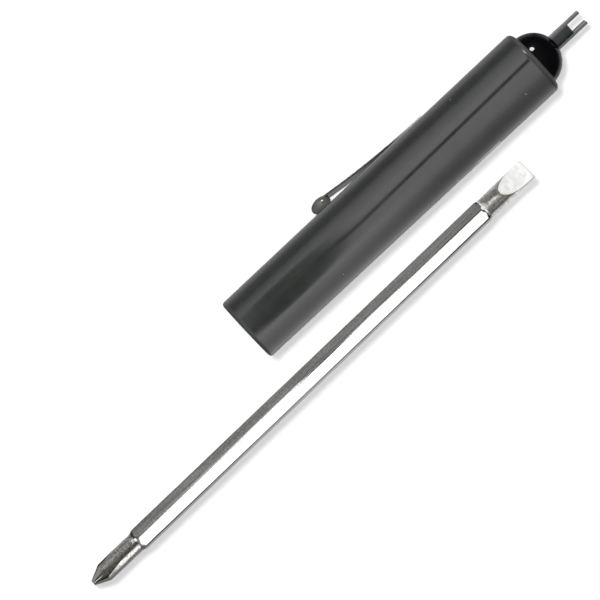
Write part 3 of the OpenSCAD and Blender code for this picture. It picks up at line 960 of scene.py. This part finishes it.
along = along_x(tree, place)
from_point = calc(tree, "SUBTRACT", along, blade_start.x)
from_middle = calc(tree, "ABSOLUTE", calc(tree, "SUBTRACT", along, hex_middle))
past_shoulder = calc(tree, "SUBTRACT", from_middle, hex_half)
at_flat_end = calc(tree, "GREATER_THAN", along, hex_middle)
from_start = put(tree, "ShaderNodeVectorMath", (0, place), (1, blade_start),
                 operation="SUBTRACT").outputs[0]
across = dot(tree, from_start, view_back.cross(blade_axis))
aside = put(tree, "ShaderNodeVectorMath", (0, from_start), (1, blade_axis),
            operation="CROSS_PRODUCT").outputs[0]
from_axis = put(tree, "ShaderNodeVectorMath", (0, aside), operation="LENGTH").outputs["Value"]
tip_r = spread(tree, along, FLAT_NECK_R, TIP_R, ground_x, blade_stop.x)
from_rim = calc(tree, "SUBTRACT", tip_r, from_axis)
cone_r = calc(tree, "MULTIPLY_ADD", from_point, (CROSS_NECK_R - POINT_R) / CONE_L, POINT_R)
depth = calc(tree, "SUBTRACT", calc(tree, "MINIMUM", cone_r, CROSS_NECK_R), from_axis)
floor_r = calc(tree, "MULTIPLY_ADD", from_point, (CROSS_NECK_R - FLUTE_FLOOR) / FLUTE_L,
               FLUTE_FLOOR)

mottle = calc(tree, "ADD", calc(tree, "MULTIPLY", drawn, 0.5), calc(tree, "MULTIPLY", speckle, 0.5))
# Painted shade: the rounded ridge on the blade's shadowed side is darkened
ridge_painted_shade = all_of(tree, rises(tree, from_axis, *RIDGE_SHADE_REACH),
                      calc(tree, "LESS_THAN", across, RIDGE_SHADE_SIDE))
plated = colour_between(tree, rises(tree, mottle, 0.38, 0.62), PLATE_DARK, PLATE_PALE)
plated = colour_between(tree, ridge_painted_shade, plated, RIDGE_SHADE_TONE)

turned = share_beyond(from_middle, hex_half)
# Painted reflections on the necks; on the lower side they dim towards the crossed point
painted_reflection = put(tree, "ShaderNodeMix", (0, at_flat_end), (2, grey_ramp(tree, across, CROSS_NECK_REFLECTION)),
              (3, grey_ramp(tree, across, FLAT_NECK_REFLECTION)), data_type="FLOAT").outputs[0]
reflection_reach = any_of(tree, calc(tree, "GREATER_THAN", across, 0),
                spread(tree, from_point, REFLECTION_LEFT, 1, *REFLECTION_WHOLE))
painted_reflection = all_of(tree, calc(tree, "MINIMUM", painted_reflection, reflection_reach),
                 spread(tree, grit, 0.45, 1.55, 0.35, 0.65))
neck_and_flute_colour = colour_between(tree, painted_reflection, REFLECTION_DARK, REFLECTION_PALE)

milled = all_of(tree, calc(tree, "LESS_THAN", from_point, FLUTE_L),
                rises(tree, depth, *MILLED_EDGE))
milled_tone = colour_between(tree, rises(tree, pits, 0.4, 0.6), MILLED_DARK, MILLED_PALE)
neck_and_flute_colour = colour_between(tree, milled, neck_and_flute_colour, milled_tone)
cone_skin = all_of(tree, falls(tree, from_point, *CONE_FADE), calc(tree, "SUBTRACT", 1, milled))

ground = all_of(tree, share_beyond(along, ground_x), rises(tree, from_rim, *GROUND_EDGE))
clean = all_of(
    tree, rises(tree, across, *CLEAN_SIDE, full=0.85),
    rises(tree, along, blade_stop.x - CLEAN_RUN[0], blade_stop.x - CLEAN_RUN[1]))
burnt = all_of(
    tree, share_beyond(along, blade_stop.x - BURNT_SHARE * ground_l),
    rises(tree, from_rim, *BURNT_RISE), falls(tree, from_rim, *BURNT_FALL),
    calc(tree, "SUBTRACT", 1, clean))
burnt_tip = rises(tree, along, blade_stop.x - BURNT_TIP[0], blade_stop.x - BURNT_TIP[1], full=0.7)
burnt = any_of(tree, burnt, burnt_tip)
ground_tone = colour_between(tree, rises(tree, noise(tree, place, 800, 3), 0.4, 0.6),
                             GROUND_DARK, GROUND_PALE)
ground_tone = colour_between(tree, burnt, ground_tone, BURNT_TONE)

# Painted highlights: glints at the shoulders, dashes by the collar and lines in the flutes
shoulder = all_of(tree, marked(past_shoulder, SHOULDER_BAND), at_flat_end,
                  calc(tree, "GREATER_THAN", across, SHOULDER_SIDE),
                  spread(tree, grit, 0.25, 1, 0.45, 0.58))
dash_off = calc(tree, "ABSOLUTE", calc(tree, "SUBTRACT", across, DASH_MIDDLE))
dash_highlights = all_of(tree, marked(past_shoulder, DASH_BAND), falls(tree, dash_off, *DASH_FADE),
                 rises(tree, dashes, 0.5, 0.6, full=0.9))
glint = all_of(tree, marked(past_shoulder, GLINT_BAND), marked(across, GLINT_SIDE))
floor_line = all_of(tree, falls(tree, calc(tree, "SUBTRACT", from_axis, floor_r), *FLOOR_FADE),
                    falls(tree, from_point, *FLOOR_RUN, full=0.8))
edge_line = all_of(tree, rises(tree, depth, *EDGE_RISE), falls(tree, depth, *EDGE_FALL),
                   marked(across, EDGE_SIDE), falls(tree, from_point, *EDGE_STOP),
                   calc(tree, "GREATER_THAN", from_point, EDGE_START))
painted_highlights = any_of(tree, shoulder, dash_highlights, glint, floor_line, edge_line)

metal = colour_between(tree, turned, plated, neck_and_flute_colour)
metal = colour_between(tree, cone_skin, metal, CONE_TONE)
metal = colour_between(tree, painted_highlights, metal, HIGHLIGHT_TONE)
rough = calc(tree, "MULTIPLY_ADD", calc(tree, "SUBTRACT", turned, milled), TURNED_ROUGH,
             spread(tree, drawn, *PLATE_ROUGH, 0.3, 0.7))
matt = any_of(tree, ground, painted_highlights, cone_skin)
join(tree, shader, (
    ("Base Color", colour_between(tree, ground, metal, ground_tone)),
    ("Roughness", calc(tree, "MULTIPLY_ADD", ground, GROUND_ROUGH, rough)),
    ("Metallic", calc(tree, "MULTIPLY_ADD", matt, -MATT_SHARE, 1)),
    ("Normal", pitted),
    ("Emission Color", WHITE),
    ("Emission Strength", pale_in_mirrors(tree, MIRRORED_SILVER)),
))


def between(start, end, count):
    """Steps from start up to but not at end."""
    return [start + (end - start) * i / count for i in range(count)]


def hexagon_angles():
    """Angles round the hexagon: five on each rounded ridge and seven on each flat."""
    side = pi / 6 - RIDGE_HALF
    angles = []
    for i in range(6):
        middle = i * pi / 3
        angles += [middle + share * side for share in (-1, -0.97, -0.6, 0, 0.6, 0.97, 1)]
        angles += [middle + pi / 6 + share * RIDGE_HALF for share in (-0.66, -0.33, 0, 0.33, 0.66)]
    return angles


def hexagon_r(angle):
    """Radius of the hexagon with its rounded ridges."""
    off = (angle + pi / 6) % (pi / 3) - pi / 6
    from_ridge = pi / 6 - abs(off)
    if from_ridge >= RIDGE_HALF:
        return HEX_FLAT / cos(off)
    centre = (HEX_FLAT - HEX_RIDGE_ROUND) / cos(pi / 6)
    return centre * cos(from_ridge) + sqrt(HEX_RIDGE_ROUND ** 2 - (centre * sin(from_ridge)) ** 2)


def flute_ring(s, r):
    """Points round the crossed point, with the flutes' edges and floors on the ring."""
    floor = FLUTE_FLOOR + (CROSS_NECK_R - FLUTE_FLOOR) * s / FLUTE_L
    edge = acos(min(floor / (sqrt(2) * r), cos(pi / 4 + THIN))) - pi / 4
    quarter = between(-pi / 4, -edge, 5) + between(-edge, 0, 4) + between(0, edge, 4)
    quarter += between(edge, pi / 4, 5)
    points = []
    for i in range(4):
        for off in quarter:
            reach = r if abs(off) >= edge else floor / (cos(off) - abs(sin(off)))
            points.append((FLUTE_TURN + i * pi / 2 + off, min(reach, r)))
    return points


def flat_ring(from_tip, r):
    """Points round the flat tip, with the edges of its two ground faces on the ring."""
    drop = FLAT_NECK_R - TIP_HALF_T
    wheel_r = (HOLLOW_L ** 2 + drop ** 2) / (2 * drop)
    back = max(from_tip - LAND_L, 0)
    half_t = TIP_HALF_T + wheel_r - sqrt(max(wheel_r ** 2 - back ** 2, 0))
    edge = max(acos(min(half_t / r, 1)), THIN)
    deep = r * cos(edge)
    points = []
    for i in range(2):
        for off in between(-edge, edge, RING // 4):
            wide = r * sin(edge) * off / edge
            points.append((FLAT_TURN + i * pi + atan2(wide, deep), sqrt(wide ** 2 + deep ** 2)))
        points += [(FLAT_TURN + i * pi + a, r) for a in between(edge, pi - edge, RING // 4)]
    return points


def cross_end_r(s):
    """Radius of the crossed end's turned blank."""
    if s < CONE_L:
        return POINT_R + (CROSS_NECK_R - POINT_R) * s / CONE_L
    return CROSS_NECK_R


def flat_end_r(from_tip):
    """Radius of the flat end's turned blank."""
    return FLAT_NECK_R + (TIP_R - FLAT_NECK_R) * max(1 - from_tip / ground_l, 0)


def from_home(ring):
    """The same ring, listed from the point nearest to the hexagon's first."""
    first = min(range(len(ring)), key=lambda i: abs((ring[i][0] - home + pi) % (2 * pi) - pi))
    values = []
    for a, r in ring[first:] + ring[:first]:
        while values and a < values[-1][0]:
            a += 2 * pi
        values.append((a, r))
    shift = round((values[0][0] - home) / (2 * pi)) * 2 * pi
    return [(a - shift, r) for a, r in values]


def blended(first, second, share, r):
    """A round ring whose points lie between those of two others."""
    return [(a + (b - a) * share, r) for (a, _), (b, _) in zip(first, second)]


def collar(s, r):
    """A round ring with the hexagon's angles."""
    return s, [(a, r) for a, _ in hexagon]


def chamfer(shoulder, inward, collar_r):
    """Rings of the hexagon's turned end, from its collar up to its ridges."""
    ridge_r = hexagon_r(pi / 6)
    reaches = [collar_r + (ridge_r - collar_r) * i / CHAMFER_ROWS
               for i in range(1, CHAMFER_ROWS + 1)]
    return [(shoulder + inward * (reach - collar_r) * CHAMFER_RUN,
             [(a, min(r, reach)) for a, r in hexagon]) for reach in reaches]


hexagon = [(a, hexagon_r(a)) for a in hexagon_angles()]
home = hexagon[0][0]
stations = sorted([FLUTE_L * (i / FLUTE_ROWS) for i in range(FLUTE_ROWS + 1)] + [CONE_L])
rows = [(s, from_home(flute_ring(s, cross_end_r(s)))) for s in stations]
flute_end = rows[-1][1]
neck_l = hex_start - STEP_L - FLUTE_L
rows += [(FLUTE_L + neck_l * share, blended(flute_end, hexagon, share, CROSS_NECK_R))
         for share in (0.25, 0.5, 0.75, 1)]
rows += [collar(hex_start - STEP_L, CROSS_COLLAR_R), collar(hex_start, CROSS_COLLAR_R)]
rows += chamfer(hex_start, 1, CROSS_COLLAR_R)
rows += reversed(chamfer(hex_stop, -1, FLAT_COLLAR_R))
rows += [collar(hex_stop, FLAT_COLLAR_R), collar(hex_stop + STEP_L, FLAT_COLLAR_R)]
neck_l = blade_l - ground_l - hex_stop - STEP_L
flat_first = from_home(flat_ring(ground_l, FLAT_NECK_R))
rows += [(hex_stop + STEP_L + neck_l * share, blended(hexagon, flat_first, share, FLAT_NECK_R))
         for share in (0, 0.33, 0.66, 1)]
stations = [LAND_L + HOLLOW_L * (1 - i / HOLLOW_ROWS) for i in range(1, HOLLOW_ROWS + 1)] + [0]
rows += [(blade_l - s, from_home(flat_ring(s, flat_end_r(s)))) for s in stations]

blade_side = Vector((0, 0, 1)).cross(blade_axis)
points = [blade_start + blade_axis * s + blade_side * (r * sin(a)) + Vector((0, 0, r * cos(a)))
          for s, ring in rows for a, r in ring]
faces = faces_between(len(rows), RING)
first, last = len(points), len(points) + 1
end = first - RING
points += [blade_start, blade_stop]
faces += [(first, (i + 1) % RING, i) for i in range(RING)]
faces += [(last, end + i, end + (i + 1) % RING) for i in range(RING)]
blade = new_piece("reversible_blade", points, faces)
blade.data.materials.append(blade_finish)
settle(blade)
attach(blade, "blade")
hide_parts("blade")
shadow_makers["blade_key"].objects.link(blade)
shadow_makers["key"].objects.link(blade)
shadow_makers["key"].collection_objects[0].light_linking.link_state = "EXCLUDE"
